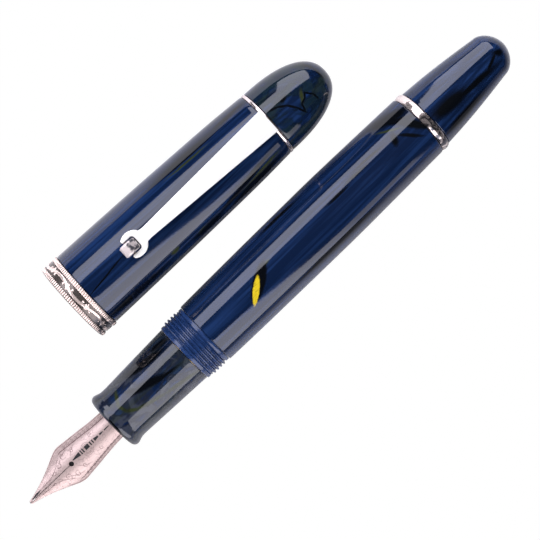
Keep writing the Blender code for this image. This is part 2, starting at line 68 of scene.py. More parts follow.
sideways = Vector(joints["clip_flex"]["axis"])
CAP_TURN = math.atan2(-sideways.x, sideways.y)
mouth = Vector(mounts["cap_mouth"]["pos_m"])
mouth.z = middle("cap_band").z
barrel_middle = middle("barrel")
PEN_ORIGIN = Vector((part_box("barrel_tail")[1].x - PEN_LENGTH * MM, barrel_middle.y, barrel_middle.z))
PEN = Matrix.Translation(PEN_ORIGIN)
CAP = Matrix.Translation(mouth) @ Matrix.Rotation(CAP_TURN, 4, "Z")
CLIP = (
    Matrix.Translation(joints["clip_flex"]["pos_m"])
    @ Matrix.Rotation(CAP_TURN, 4, "Z")
    @ Matrix.Rotation(CLIP_SLOPE, 4, "Y")
)
ROLLER = (
    Matrix.Translation(joints["roller_spin"]["pos_m"])
    @ Matrix.Rotation(CAP_TURN, 4, "Z")
    @ Matrix.Rotation(math.pi / 2, 4, "Z")
)

# ---------------- outlines, as the CAD model has them
BARREL = [(49.3, 7.25), (58.0, 7.38), (68.0, 7.47), (78.0, 7.53), (86.0, 7.55), (98.0, 7.38), (110.0, 7.17)]
SECTION = [(23.15, 5.8), (23.28, 6.12), (23.6, 6.4), (24.2, 6.54), (24.8, 6.38), (25.6, 6.13), (26.8, 6.07),
           (28.5, 6.12), (34.0, 6.33), (43.35, 6.65)]
TAIL = [(111.7, 6.85), (117.7, 6.42), (123.8, 5.75), (130.0, 4.92)]
CAP_OUTSIDE = [(4.0, 8.78), (12.5, 8.67), (24.5, 8.48), (35.0, 8.24), (45.0, 7.96), (53.0, 7.54)]
NIB_HALF_WIDTH = [(0.3, 0.38), (2.0, 0.75), (5.0, 1.7), (8.0, 2.95), (10.1, 3.96), (11.1, 4.28), (11.9, 4.38),
                  (13.0, 4.27), (16.2, 3.96), (20.3, 3.52), (24.0, 3.36)]
NIB_CROWN = [(0.3, 0.55), (3.0, 1.35), (6.0, 2.15), (11.9, 3.35), (16.5, 3.66), (20.5, 3.75)]
NIB_CURVE_RADIUS = [(0.3, 0.8), (3.0, 2.2), (6.0, 3.6), (11.5, 5.2), (16.5, 4.4), (22.0, 3.75)]
FEED_HALF_WIDTH = [(6.0, 0.35), (8.0, 1.0), (11.0, 2.0), (15.0, 2.75), (21.0, 3.2)]
FEED_DEPTH = [(6.0, 0.9), (8.0, 0.7), (11.0, -0.6), (15.0, -2.3), (20.0, -3.4), (23.0, -3.6)]
NIB_THICKNESS = 0.38
NIB_FEED_GAP = 0.1
NIB_REAR = 34.6
BREATHER = 11.9
BREATHER_RADIUS = 0.52
SLIT_WIDTH = 0.12
TAIL_FULLNESS = 1.8
FINIAL_FULLNESS = 2.35
FINIAL_FRONT = 54.0
FINIAL_RADIUS = 7.47
CAP_LENGTH = 69.35
THREAD_PITCH = 0.85
BUSH_PITCH = 1.0
LEAST_TURN = math.radians(25)
WELD = 0.0004


def steps(start, end, count):
    return [start + (end - start) * i / count for i in range(count + 1)]


def curve_through(points, x):
    """The value at x of a smooth curve through (x, value) points, flat beyond its ends."""
    if x <= points[0][0]:
        return points[0][1]
    if x >= points[-1][0]:
        return points[-1][1]
    slopes = []
    for i in range(len(points)):
        a, b = points[max(i - 1, 0)], points[min(i + 1, len(points) - 1)]
        slopes.append((b[1] - a[1]) / (b[0] - a[0]))
    i = next(i for i in range(len(points) - 1) if x <= points[i + 1][0])
    (x0, y0), (x1, y1) = points[i], points[i + 1]
    width = x1 - x0
    t = (x - x0) / width
    rise = (1 + 2 * t) * (1 - t) ** 2 * y0 + t * t * (3 - 2 * t) * y1
    return rise + width * (t * (1 - t) ** 2 * slopes[i] - t * t * (1 - t) * slopes[i + 1])


def along(outline, start, end, pitch=1.0):
    """Profile points read off an outline about every pitch millimetres."""
    count = max(1, round((end - start) / pitch))
    return [(x, curve_through(outline, x)) for x in steps(start, end, count)]


def arch(t):
    """Half a circle's height, 1 at t = 0 and 0 from t = 1 and t = -1 outwards."""
    return math.sqrt(max(0.0, 1 - t * t))


def dome(start, end, radius, fullness, count=28):
    """Profile points over a closed end. A fullness of 2 is a plain ellipse, and more is blunter."""
    points = []
    for turn in steps(0, math.pi / 2, count):
        share = math.sin(turn) ** (2 / fullness)
        points.append((start + (end - start) * share, radius * max(0.0, math.cos(turn)) ** (2 / fullness)))
    return points[:-1] + [(end, 0.0)]


def crowned(start, end, radius, rise, count):
    """Profile points over a ring's rounded rim."""
    return [(start + (end - start) * t, radius + rise * arch(2 * t - 1)) for t in steps(0, 1, count)]


def eased(points, size):
    """The same profile with each corner that turns by LEAST_TURN or more rounded off."""
    out = []
    closed = points[0][1] > 0
    for i, point in enumerate(points):
        if not closed and i in (0, len(points) - 1):
            out.append(point)
            continue
        here = Vector(point)
        back = Vector(points[i - 1]) - here
        ahead = Vector(points[(i + 1) % len(points)]) - here
        if back.angle(-ahead) < LEAST_TURN:
            out.append(point)
            continue
        reach = min(size, 0.4 * back.length, 0.4 * ahead.length)
        first, last = here + back.normalized() * reach, here + ahead.normalized() * reach
        for t in (0.0, 0.33, 0.67, 1.0):
            out.append(tuple((1 - t) ** 2 * first + 2 * t * (1 - t) * here + t * t * last))
    return out


# ---------------- making pieces
def new_object(name, data):
    obj = bpy.data.objects.new(name, data)
    bpy.context.scene.collection.objects.link(obj)
    return obj


def mesh_from(name, bm):
    """A mesh from a bmesh in millimetres, which is freed."""
    bmesh.ops.transform(bm, matrix=Matrix.Scale(MM, 4), verts=bm.verts)
    mesh = bpy.data.meshes.new(name)
    bm.to_mesh(mesh)
    bm.free()
    return mesh


def smooth(mesh, sharp):
    """Shades a mesh smooth but for edges that turn by more than sharp degrees."""
    mesh.shade_smooth()
    mesh.set_sharp_from_angle(angle=math.radians(sharp))


def finish_piece(name, bm, material, place, body, stands_for=(), sharp=35):
    """Turns a bmesh in millimetres into a piece that rides on a body."""
    bmesh.ops.remove_doubles(bm, verts=bm.verts, dist=WELD)
    bmesh.ops.recalc_face_normals(bm, faces=bm.faces)
    mesh = mesh_from(name, bm)
    smooth(mesh, sharp)
    mesh.materials.append(material)
    obj = new_object(name, mesh)
    obj.matrix_world = place
    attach(obj, body)
    if stands_for:
        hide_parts(*stands_for)
    return obj


def grid_faces(bm, rows, wrap_rows=False):
    """Quads between rows of vertices that each close on themselves. A row of one vertex makes a fan."""
    pairs = list(zip(rows, rows[1:]))
    if wrap_rows:
        pairs.append((rows[-1], rows[0]))
    for row, following in pairs:
        count = max(len(row), len(following))
        for j in range(count):
            k = (j + 1) % count
            corners = [row[j % len(row)], row[k % len(row)]]
            corners += [following[k % len(following)], following[j % len(following)]]
            distinct = list(dict.fromkeys(corners))
            if len(distinct) > 2:
                bm.faces.new(distinct)


def thread_ridge(phase):
    """Height from 0 to 1 of a rounded V thread at a phase counted in pitches."""
    height = min(1.0, max(0.0, 1.3 * (1 - abs(2 * (phase % 1.0) - 1)) - 0.08))
    return height * height * (3 - 2 * height)


def thread(start, end, minor, major, pitch, per_pitch=14):
    """Rows of (station, radius, height, pitch) for a helical thread that fades in and out."""
    count = round((end - start) / pitch * per_pitch)
    fading = 0.6 * per_pitch
    rows = []
    for i in range(count + 1):
        fade = min(1.0, i / fading, (count - i) / fading)
        rows.append((start + (end - start) * i / count, minor, (major - minor) * fade, pitch))
    return rows


def turned(
    name, profile, material, place, body, stands_for=(), around=144, ripple=None, ease=0.1, sharp=35,
):
    """A piece turned about x from (x, radius) points. A point may also have the height and pitch of a
    thread's ridge. ripple(x, angle) adds to the radius. ease rounds off the corners, and is 0 where there
    is a thread."""
    bm = bmesh.new()
    rows = []
    for point in eased(profile, ease) if ease else profile:
        x, radius, height, pitch = (*point, 0.0, 1.0)[:4]
        if radius < 1e-6:
            rows.append([bm.verts.new((x, 0.0, 0.0))])
            continue
        row = []
        for j in range(around):
            angle = TAU * (j + 0.5) / around
            r = radius + (ripple(x, angle) if ripple else 0.0)
            if height:
                r += height * thread_ridge(x / pitch - angle / TAU)
            row.append(bm.verts.new((x, r * math.sin(angle), r * math.cos(angle))))
        rows.append(row)
    grid_faces(bm, rows, wrap_rows=profile[0][1] > 0)
    return finish_piece(name, bm, material, place, body, stands_for, sharp)


def loft(sections):
    """A closed bmesh through cross-sections that have the same number of points."""
    bm = bmesh.new()
    rows = [[bm.verts.new(point) for point in section] for section in sections]
    grid_faces(bm, rows)
    bm.faces.new(rows[0])
    bm.faces.new(reversed(rows[-1]))
    return bm


def rod(radius, length, centre, segments, sideways=False):
    """A cylinder along z, or along y if it is sideways."""
    bm = bmesh.new()
    turn = Matrix.Rotation(math.pi / 2 if sideways else 0.0, 4, "X")
    bmesh.ops.create_cone(
        bm, cap_ends=True, segments=segments, radius1=radius, radius2=radius, depth=length,
        matrix=Matrix.Translation(centre) @ turn,
    )
    return bm


def block(low, high):
    bm = bmesh.new()
    centre = [(a + b) / 2 for a, b in zip(low, high)]
    size = [b - a for a, b in zip(low, high)]
    bmesh.ops.create_cube(bm, size=1.0, matrix=Matrix.Translation(centre) @ Matrix.Diagonal((*size, 1.0)))
    return bm


def cut_away(obj, tools):
    """Cuts each tool, a bmesh in millimetres in the piece's own frame, out of the piece for good."""
    made = []
    for tool in tools:
        cutter = new_object("cutter", mesh_from("cutter", tool))
        cutter.matrix_world = obj.matrix_world
        modifier = obj.modifiers.new("cut", "BOOLEAN")
        modifier.operation = "DIFFERENCE"
        modifier.solver = "EXACT"
        modifier.object = cutter
        made.append(cutter)
    bpy.context.view_layer.update()
    result = bpy.data.meshes.new_from_object(obj.evaluated_get(bpy.context.evaluated_depsgraph_get()))
    obj.modifiers.clear()
    obj.data = result
    smooth(result, 35)
    for cutter in made:
        bpy.data.objects.remove(cutter)


# ---------------- materials
def srgb(red, green, blue):
    """A linear colour from an everyday 0 to 255 one."""
    out = []
    for value in (red, green, blue):
        share = value / 255
        out.append(share / 12.92 if share <= 0.04045 else ((share + 0.055) / 1.055) ** 2.4)
    return (*out, 1.0)


RANGE_INPUTS = ("From Min", "From Max", "To Min", "To Max")


class Shading:
    """A Principled material and short ways to add nodes to it. Lengths are in millimetres."""

    def __init__(self, title, colour, roughness, metallic=0.0, ior=1.5):
        self.material = bpy.data.materials.new(title)
        self.material.use_nodes = True
        self.tree = self.material.node_tree
        self.shader = self.tree.nodes["Principled BSDF"]
        settings = {"Base Color": colour, "Roughness": roughness, "Metallic": metallic, "IOR": ior}
        for name, value in settings.items():
            self.shader.inputs[name].default_value = value
        coordinates = self.tree.nodes.new("ShaderNodeTexCoord")
        self.place = self.stretched(coordinates.outputs["Object"], (1 / MM,) * 3)

    def add(self, kind, **settings):
        node = self.tree.nodes.new(kind)
        for key, value in settings.items():
            setattr(node, key, value)
        return node

    def join(self, out, into):
        self.tree.links.new(out, into)

    def put(self, socket, value):
        """Sets a socket to a value, or joins it to another node's output."""
        if isinstance(value, bpy.types.NodeSocket):
            self.join(value, socket)
        else:
            socket.default_value = value

    def math(self, operation, *values, kind="ShaderNodeMath"):
        node = self.add(kind, operation=operation)
        for socket, value in zip(node.inputs, values):
            self.put(socket, value)
        return node.outputs[0]

    def vector_math(self, operation, *values):
        return self.math(operation, *values, kind="ShaderNodeVectorMath")

    def length(self, vector):
        node = self.add("ShaderNodeVectorMath", operation="LENGTH")
        self.join(vector, node.inputs[0])
        return node.outputs["Value"]

    def parts(self, vector):
        """The outputs of a node that splits the vector into X, Y and Z."""
        node = self.add("ShaderNodeSeparateXYZ")
        self.join(vector, node.inputs[0])
        return node.outputs

    def surface(self, colour, grain, spread, roughness):
        """Joins the shader to a colour and to a roughness that the grain raises by up to spread."""
        self.join(colour, self.shader.inputs["Base Color"])
        self.join(self.math("MULTIPLY_ADD", grain, spread, roughness), self.shader.inputs["Roughness"])

    def times(self, *values):
        """The product of two or more values."""
        product = values[0]
        for value in values[1:]:
            product = self.math("MULTIPLY", product, value)
        return product

    def stretched(self, vector, scale):
        return self.vector_math("MULTIPLY", vector, scale)

    def noise(self, vector, scale=1.0, detail=3.0, distortion=0.0, seed=0.0, colour=False):
        shifted = self.vector_math("ADD", vector, (seed, seed * 1.7, -seed * 0.6))
        node = self.add("ShaderNodeTexNoise")
        self.join(shifted, node.inputs["Vector"])
        node.inputs["Scale"].default_value = scale
        node.inputs["Detail"].default_value = detail
        node.inputs["Distortion"].default_value = distortion
        return node.outputs["Color" if colour else "Fac"]

    def warp(self, vector, amount, scale, seed=0.0):
        """The vector pushed about by noise, by up to about half of amount."""
        push = self.noise(vector, scale, 2.0, seed=seed, colour=True)
        start = self.vector_math("SUBTRACT", vector, (amount / 2,) * 3)
        return self.vector_math("MULTIPLY_ADD", push, (amount,) * 3, start)

    def ramp(self, value, low, high):
        """0 at low, 1 at high, smooth between, either way round."""
        node = self.add("ShaderNodeMapRange", interpolation_type="SMOOTHSTEP")
        self.put(node.inputs["Value"], value)
        settings = (low, high, 0.0, 1.0) if low <= high else (high, low, 1.0, 0.0)
        for name, setting in zip(RANGE_INPUTS, settings):
            node.inputs[name].default_value = setting
        return node.outputs[0]

    def mix(self, share, first, second):
        node = self.add("ShaderNodeMix", data_type="RGBA")
        self.put(node.inputs["Factor"], share)
        self.put(node.inputs[6], first)
        self.put(node.inputs[7], second)
        return node.outputs[2]

    def bump(self, height, distance):
        node = self.add("ShaderNodeBump")
        self.join(height, node.inputs["Height"])
        node.inputs["Distance"].default_value = distance * MM
        node.inputs["Strength"].default_value = 1.0
        self.join(node.outputs[0], self.shader.inputs["Normal"])

    def stroke(self, vector, centre, angle, half_length, half_width, soft=0.6):
        """1 inside a long ellipse seen from above and 0 outside. soft is the width of its edge."""
        node = self.add("ShaderNodeMapping", vector_type="TEXTURE")
        self.put(node.inputs["Vector"], vector)
        node.inputs["Location"].default_value = (centre[0], centre[1], 0.0)
        node.inputs["Rotation"].default_value = (0.0, 0.0, math.radians(angle))
        node.inputs["Scale"].default_value = (half_length, half_width, 1e4)
        return self.ramp(self.length(node.outputs[0]), 1.0 + soft / 2, 1.0 - soft / 2)


BLUE_DEEP = srgb(10, 25, 52)
BLUE_BRIGHT = srgb(27, 50, 91)
BLACK_RESIN = srgb(6, 8, 12)
OLIVE = srgb(45, 52, 30)
YELLOW = srgb(205, 180, 36)
DULL_YELLOW = srgb(120, 104, 26)
GREEN_SHEEN = srgb(24, 52, 62)


def path(points, half_width, soft=0.9):
    """Overlapping strokes end to end along (x, y) points."""
    strokes = []
    for (x0, y0), (x1, y1) in zip(points, points[1:]):
        middle = ((x0 + x1) / 2, (y0 + y1) / 2)
        angle = math.degrees(math.atan2(y1 - y0, x1 - x0))
        half_length = math.hypot(x1 - x0, y1 - y0) / 2 + 1.6 * half_width
        strokes.append((middle, angle, half_length, half_width, soft))
    return strokes


def swirled_resin(
    name, seed, streaks=(0.62, 0.7), olive=0.5, top=0.2, feather=0.0, haze=0.5, sheen=GREEN_SHEEN,
    strokes=(), flecks=(), veins=(),
):
    """Polished blue resin with black and olive swirls drawn out along the rod.

    streaks are the noise levels where black starts and is full, olive is the strength of their rims, and
    top is their share on the upper side. feather is the share of short curling swirls, and haze is how far
    their clouds turn to the sheen. strokes, veins and flecks are single black, olive and yellow marks on the
    upper side."""
    s = Shading(name, BLUE_DEEP, 0.07)
    height = s.parts(s.place)["Z"]
    on_top = s.ramp(height, 0.0, 1.0)
    share = s.math("ADD", s.times(s.ramp(height, 4.5, 0.5), 1.0 - top), top)
    drawn_out = s.stretched(s.warp(s.place, 1.2, 0.16, seed), (0.045, 0.34, 0.34))
    cloud = s.noise(drawn_out, 1.0, 3.0, 0.4, seed)
    silk = s.noise(s.stretched(s.place, (0.035, 1.1, 1.1)), 1.0, 5.0, 0.3, seed + 7)
    curled = s.stretched(s.warp(s.place, 5.0, 0.17, seed + 3), (0.13, 0.3, 0.3))
    curls = s.noise(curled, 1.0, 3.0, 1.4, seed + 11)
    colour = s.mix(s.times(s.ramp(silk, 0.42, 0.7), 0.8), BLUE_DEEP, BLUE_BRIGHT)
    start, full = streaks
    black = s.times(s.ramp(cloud, start, full), share)
    edge = s.times(s.ramp(cloud, start - 0.09, start), s.ramp(cloud, full, start), share, olive)
    if feather:
        folded = s.math("PINGPONG", s.times(curls, 6.0), 1.0)
        band = s.times(s.ramp(folded, 0.4, 0.9), s.ramp(curls, 0.36, 0.5))
        black = s.math("MAXIMUM", black, s.times(band, share, feather))
        rim = s.times(s.ramp(folded, 0.2, 0.4), s.ramp(folded, 0.62, 0.42), s.ramp(curls, 0.44, 0.6))
        edge = s.math("MAXIMUM", edge, s.times(rim, share, feather, olive))
        colour = s.mix(s.times(s.ramp(curls, 0.38, 0.62), haze), colour, sheen)
    ragged = s.warp(s.place, 0.4, 0.3, seed + 5)
    for mark in strokes:
        black = s.math("MAXIMUM", black, s.times(s.stroke(ragged, *mark), on_top))
    for mark in veins:
        edge = s.math("MAXIMUM", edge, s.times(s.stroke(ragged, *mark), on_top))
    colour = s.mix(edge, colour, OLIVE)
    colour = s.mix(black, colour, BLACK_RESIN)
    for mark in flecks:
        fine = s.warp(s.place, 0.35, 1.4, seed + 9)
        grain = s.noise(s.stretched(fine, (0.5, 2.2, 1.0)), 1.2, 3.0, 0.4, seed + 2)
        paint = s.mix(s.ramp(grain, 0.2, 0.5), DULL_YELLOW, YELLOW)
        colour = s.mix(s.times(s.stroke(fine, *mark), on_top), colour, paint)
    s.surface(colour, silk, 0.06, 0.04)
    s.bump(s.noise(s.place, 0.35, 2.0, seed=seed), 0.006)
    return s.material


def plain_resin():
    """The lighter, unswirled ring that the cap's thread is cut in."""
    s = Shading("plain_blue_resin", srgb(30, 52, 94), 0.2)
    grain = s.noise(s.stretched(s.place, (3.0, 0.6, 0.6)), 1.0, 3.0)
    s.surface(s.mix(s.ramp(grain, 0.3, 0.7), srgb(26, 46, 84), srgb(34, 58, 103)), grain, 0.16, 0.12)
    s.bump(s.noise(s.stretched(s.place, (9.0, 0.5, 0.5)), 1.0, 2.0), 0.004)
    return s.material


def plated(
    name, colour, roughness, wear=0.04, brushed=(6.0, 6.0, 6.0), bump=0.002, metallic=1.0, painted_hollow_shade=None,
    painted_dark_side=None, scrolls=False,
):
    """Plated metal. painted_hollow_shade is two radii of painted shade in the hollows: it is dark at and within
    the first and clean from the second out.
    painted_dark_side is the y where swirls of painted shade and dark reflection begin and the y where they are
    full. scrolls adds faint curls."""
    s = Shading(name, colour, roughness, metallic=metallic)
    grain = s.noise(s.stretched(s.place, brushed), 1.0, 4.0)
    tone = s.mix(s.ramp(grain, 0.3, 0.75), colour, [min(1.0, c * 0.9) for c in colour[:3]] + [1.0])
    # Painted shade in the hollows: the nearer the surface lies to the axis, the darker it is.
    if painted_hollow_shade:
        radius = s.length(s.stretched(s.place, (0.0, 1.0, 1.0)))
        dark = s.ramp(radius, painted_hollow_shade[1], painted_hollow_shade[0])
        tone = s.mix(dark, tone, (0.12, 0.1, 0.09, 1.0))
    # Painted shade and dark reflections on one side, broken into noise swirls.
    if painted_dark_side:
        across = s.parts(s.warp(s.place, 1.0, 0.9, 4.0))["Y"]
        blotch = s.ramp(s.noise(s.warp(s.place, 1.2, 0.7, 2.0), 0.9, 2.0, 0.5, 6.0), 0.42, 0.56)
        dark = s.times(s.ramp(across, *painted_dark_side), s.math("MULTIPLY_ADD", blotch, 0.65, 0.3))
        tone = s.mix(dark, tone, (0.03, 0.035, 0.05, 1.0))
    if scrolls:
        swirl = s.noise(s.warp(s.place, 1.6, 0.5, 3.0), 0.75, 2.0, 0.8, 9.0)
        line = s.math("PINGPONG", s.times(swirl, 9.0), 1.0)
        tone = s.mix(s.times(s.ramp(line, 0.72, 0.98), 0.4), tone, (0.2, 0.13, 0.13, 1.0))
    s.surface(tone, grain, wear, roughness)
    if bump:
        s.bump(grain, bump)
    return s.material


def plastic(name, colour, roughness, second=None, transmission=0.0):
    """Moulded plastic or rubber, mottled with a second colour."""
    s = Shading(name, colour, roughness, ior=1.47)
    grain = s.noise(s.place, 2.5, 4.0)
    s.surface(s.mix(s.ramp(grain, 0.3, 0.7), colour, second or colour), grain, 0.08, roughness)
    s.shader.inputs["Transmission Weight"].default_value = transmission
    s.bump(s.noise(s.place, 6.0, 3.0), 0.003)
    return s.material


BARREL_RESIN = swirled_resin(
    "barrel_resin", 2.0, streaks=(0.62, 0.74), olive=0.35, top=0.0,
    strokes=[
        ((64.2, 0.1), 33.0, 4.3, 1.25, 0.4),
        ((81.0, -5.55), 0.0, 11.5, 0.5, 0.8),
        ((87.3, 1.45), -1.0, 3.0, 0.32, 1.0),
        ((93.0, 2.1), -2.0, 3.0, 0.3, 1.2),
        ((97.0, 2.6), -3.0, 3.5, 0.25, 1.0),
        ((103.4, 1.6), 60.0, 1.5, 0.7, 0.9),
        ((105.6, 5.3), -14.0, 5.2, 1.15, 0.9),
        ((107.0, 3.6), -26.0, 3.6, 0.6, 0.9),
        ((108.3, 1.2), -52.0, 4.4, 0.85, 0.8),
        ((106.3, 0.0), -45.0, 2.6, 0.35, 1.0),
        ((76.0, 6.6), -1.0, 5.0, 0.3, 1.0),
    ],
    veins=[((67.3, 1.9), 4.0, 1.4, 0.35, 1.2), ((104.0, 3.6), -30.0, 2.5, 0.22, 1.2)],
    flecks=[((62.5, -0.75), 40.0, 3.0, 0.62, 0.3)],
)
SECTION_RESIN = swirled_resin(
    "section_resin", 14.0, streaks=(0.56, 0.7), top=0.8, feather=0.6, haze=0.85, sheen=srgb(56, 60, 72),
    strokes=[
        ((36.5, 4.3), -7.0, 5.6, 0.9, 0.9),
        ((41.0, 4.9), -5.0, 2.6, 0.6, 0.9),
        ((34.0, 0.9), -14.0, 5.0, 0.9, 0.9),
        ((31.0, 2.0), -30.0, 2.0, 0.6, 0.9),
        ((37.5, -0.2), -6.0, 3.6, 0.4, 1.0),
        ((23.5, -1.6), 88.0, 4.2, 0.3, 0.9),
    ],
    veins=path([(28.2, 4.0), (26.8, 1.7), (27.3, 0.0), (29.0, -1.2), (35.0, -2.9), (42.7, -4.2)], 0.4, 1.2),
)
TAIL_RESIN = swirled_resin(
    "tail_resin", 31.0, streaks=(0.66, 0.78), olive=0.3, top=0.0,
    strokes=[
        ((116.6, -1.1), -5.0, 5.0, 1.5, 0.9),
        ((123.0, -1.7), -3.0, 6.6, 0.7, 0.9),
        ((128.6, -0.9), 24.0, 2.6, 0.35, 1.0),
        ((117.5, -4.6), 5.0, 6.0, 0.8, 1.0),
        ((131.0, -0.4), -30.0, 1.2, 0.7, 1.2),
    ],
)
CAP_RESIN = swirled_resin(
    "cap_resin", 47.0, streaks=(0.58, 0.7), top=0.0,
    strokes=[
        ((8.9, -0.85), 8.3, 5.6, 0.17, 0.9),
        ((36.0, 6.1), -1.5, 9.0, 0.75, 1.1),
        ((48.0, 6.3), 1.0, 5.0, 0.4, 1.1),
        ((41.5, -5.9), 8.3, 8.2, 0.5, 0.9),
        ((44.0, -7.0), 3.0, 7.0, 0.6, 0.9),
        ((31.0, -7.2), 1.0, 4.5, 0.5, 1.0),
        ((11.0, -7.3), 0.0, 8.0, 0.6, 1.0),
    ],
    veins=[
        ((22.4, -6.4), 4.0, 1.1, 0.35, 0.8),
        ((29.3, -7.0), 3.0, 1.2, 0.35, 0.8),
        ((46.0, -6.2), 6.0, 5.0, 0.3, 1.0),
        ((36.0, 5.0), -1.5, 5.0, 0.2, 1.0),
    ],
)
FINIAL_RESIN = swirled_resin(
    "finial_resin", 63.0, streaks=(0.58, 0.72), top=0.6, feather=0.5, haze=0.8, sheen=srgb(18, 34, 42),
    strokes=[
        *path([(55.0, 1.2), (56.5, 0.9), (58.0, 0.0), (59.3, -1.8), (60.2, -3.6)], 0.24, 0.7),
        *path([(60.3, -3.4), (60.6, -2.0), (61.8, -1.5), (62.5, -0.7), (63.8, -2.0), (64.0, -3.2)], 0.2, 0.7),
        ((58.5, 1.3), 10.0, 0.9, 0.45, 0.8),
        *path([(66.2, 4.2), (67.4, 2.0), (67.7, -0.5)], 0.3, 0.9),
    ],
    veins=[((61.6, -0.8), 55.0, 1.5, 0.4, 1.1)],
)
COLLAR_RESIN = plain_resin()
BRIGHT = plated("bright_plating", (0.93, 0.81, 0.78, 1.0), 0.16, metallic=0.9)
# The tail ring, the lip's beads and scroll and the roller get painted shade and dark reflections on one side; the
# beads and scroll also get painted shade in their hollows.
RING_METAL = plated("ring_plating", (0.95, 0.82, 0.77, 1.0), 0.13, metallic=0.85, painted_dark_side=(2.2, 0.4))
BEAD_METAL = plated(
    "milled_plating", (0.98, 0.79, 0.71, 1.0), 0.25, metallic=0.5, painted_hollow_shade=(8.92, 8.97), painted_dark_side=(-4.5, -8.5),
)
SCROLL_METAL = plated(
    "scroll_plating", (0.98, 0.8, 0.72, 1.0), 0.2, metallic=0.6, painted_hollow_shade=(8.81, 8.85), painted_dark_side=(-4.0, -7.5),
)
ROLLER_METAL = plated("roller_plating", (1.0, 0.88, 0.85, 1.0), 0.3, metallic=0.5, painted_dark_side=(0.3, 0.0))
CLIP_METAL = plated(
    "clip_plating", (1.0, 0.99, 0.95, 1.0), 0.5, brushed=(0.6, 8.0, 8.0), bump=0.0, metallic=0.45,
)
NIB_METAL = plated(
    "nib_steel", (0.56, 0.43, 0.4, 1.0), 0.38, wear=0.1, brushed=(0.9, 5.0, 5.0), metallic=0.5, scrolls=True,
)
ENGRAVED = plastic("nib_engraving", srgb(112, 88, 88), 0.6, srgb(92, 70, 70))
INLAID_AND_SLIT_SHADE = plastic("nib_inlay_and_slit_shade", srgb(24, 24, 26), 0.45, srgb(36, 34, 36))
TIPPING = plated("tipping", (0.7, 0.68, 0.67, 1.0), 0.3)
BRASS = plated("brass", (0.75, 0.56, 0.27, 1.0), 0.28, brushed=(0.8, 7.0, 7.0))
BLACK = plastic("black_plastic", srgb(22, 22, 24), 0.36, srgb(32, 32, 35))
CLEAR = plastic("clear_plastic", (0.93, 0.95, 0.97, 1.0), 0.04, transmission=1.0)
RUBBER = plastic("seal_rubber", srgb(28, 28, 30), 0.6, srgb(38, 38, 40))
PALE = plastic("pale_plastic", srgb(228, 228, 224), 0.4, srgb(214, 214, 210))


# ---------------- the grip unit
def nib_height(station, y, below=0.0):
    """Height of the nib's top at a station and y, or of a surface that lies some way below it."""
    radius = curve_through(NIB_CURVE_RADIUS, station) - below
    reach = min(abs(y), 0.98 * radius)
    crown = curve_through(NIB_CROWN, station) - below
    return crown - radius + math.sqrt(radius * radius - reach * reach)


def make_nib():
    across = 44
    edge_drop, edge_reach = 0.05, 0.12
    stations = steps(0.3, 14.0, 72) + steps(14.0, NIB_REAR, 40)[1:]
    sections = []
    for station in stations:
        half = curve_through(NIB_HALF_WIDTH, station)
        edge = half - min(0.5 * NIB_THICKNESS, 0.3 * half)
        upper = [half * y for y in steps(-1, 1, across)]
        lower = [edge * y for y in steps(1, -1, across)]
        top = []
        for y in upper:
            drop = edge_drop * max(0.0, (abs(y) - half + edge_reach) / edge_reach) ** 2
            top.append((station, y, nib_height(station, y) - drop))
        sections.append(top + [(station, y, nib_height(station, y, NIB_THICKNESS)) for y in lower])
    nib = finish_piece("nib_blade", loft(sections), NIB_METAL, PEN, "nib_unit", ["nib"])
    cut_away(nib, [
        rod(BREATHER_RADIUS, 6.0, (BREATHER, 0, 3.0), 48),
        block((-1.0, -SLIT_WIDTH / 2, -1.0), (BREATHER, SLIT_WIDTH / 2, 6.0)),
    ])
    tip = bmesh.new()
    bmesh.ops.create_uvsphere(
        tip, u_segments=32, v_segments=20, radius=0.36,
        matrix=Matrix.Translation((0.38, 0, -0.25)) @ Matrix.Diagonal((1.0, 0.9, 1.1, 1.0)),
    )
    finish_piece("nib_tipping", tip, TIPPING, PEN, "nib_unit", ["nib_tip_pellet"])


def ribbon(bm, points, width, lift=0.012, foot=-0.03):
    """A thin strip along (x, y) points, its top lift over the nib's and its foot sunk in it. width may be a
    list, one for each point."""
    rows = []
    for i, (x, y) in enumerate(points):
        before, after = Vector(points[max(i - 1, 0)]), Vector(points[min(i + 1, len(points) - 1)])
        step = (after - before).normalized()
        half = (width[i] if isinstance(width, list) else width) / 2
        rows.append([(x - side * step.y * half, y + side * step.x * half) for side in (-1, 1)])
    upper = [[bm.verts.new((px, py, nib_height(px, py) + lift)) for px, py in row] for row in rows]
    lower = [[bm.verts.new((px, py, nib_height(px, py) + foot)) for px, py in row] for row in rows]
    for i in range(len(rows) - 1):
        a, b, c, d = upper[i], upper[i + 1], lower[i], lower[i + 1]
        bm.faces.new((a[0], a[1], b[1], b[0]))
        bm.faces.new((c[0], d[0], d[1], c[1]))
        bm.faces.new((a[0], b[0], d[0], c[0]))
        bm.faces.new((a[1], c[1], d[1], b[1]))
    for i in (0, -1):
        bm.faces.new((upper[i][0], lower[i][0], lower[i][1], upper[i][1]))


def spiral(centre, start_radius, end_radius, start, sweep, count):
    points = []
    for t in steps(0, 1, count):
        radius = start_radius + (end_radius - start_radius) * t
        angle = math.radians(start + sweep * t)
        points.append((centre[0] + radius * math.cos(angle), centre[1] + radius * math.sin(angle)))
    return points


def tapered(points, width):
    """A width for each point, thinning to both ends."""
    return [width * (0.25 + 0.75 * math.sin(math.pi * t)) for t in steps(0.08, 0.92, len(points) - 1)]


def border_line(inset, start, end, side):
    return [(x, side * (curve_through(NIB_HALF_WIDTH, x) - inset)) for x in steps(start, end, 36)]


INLAY_SIDE = 0.35
INLAY_LIFT = 0.045


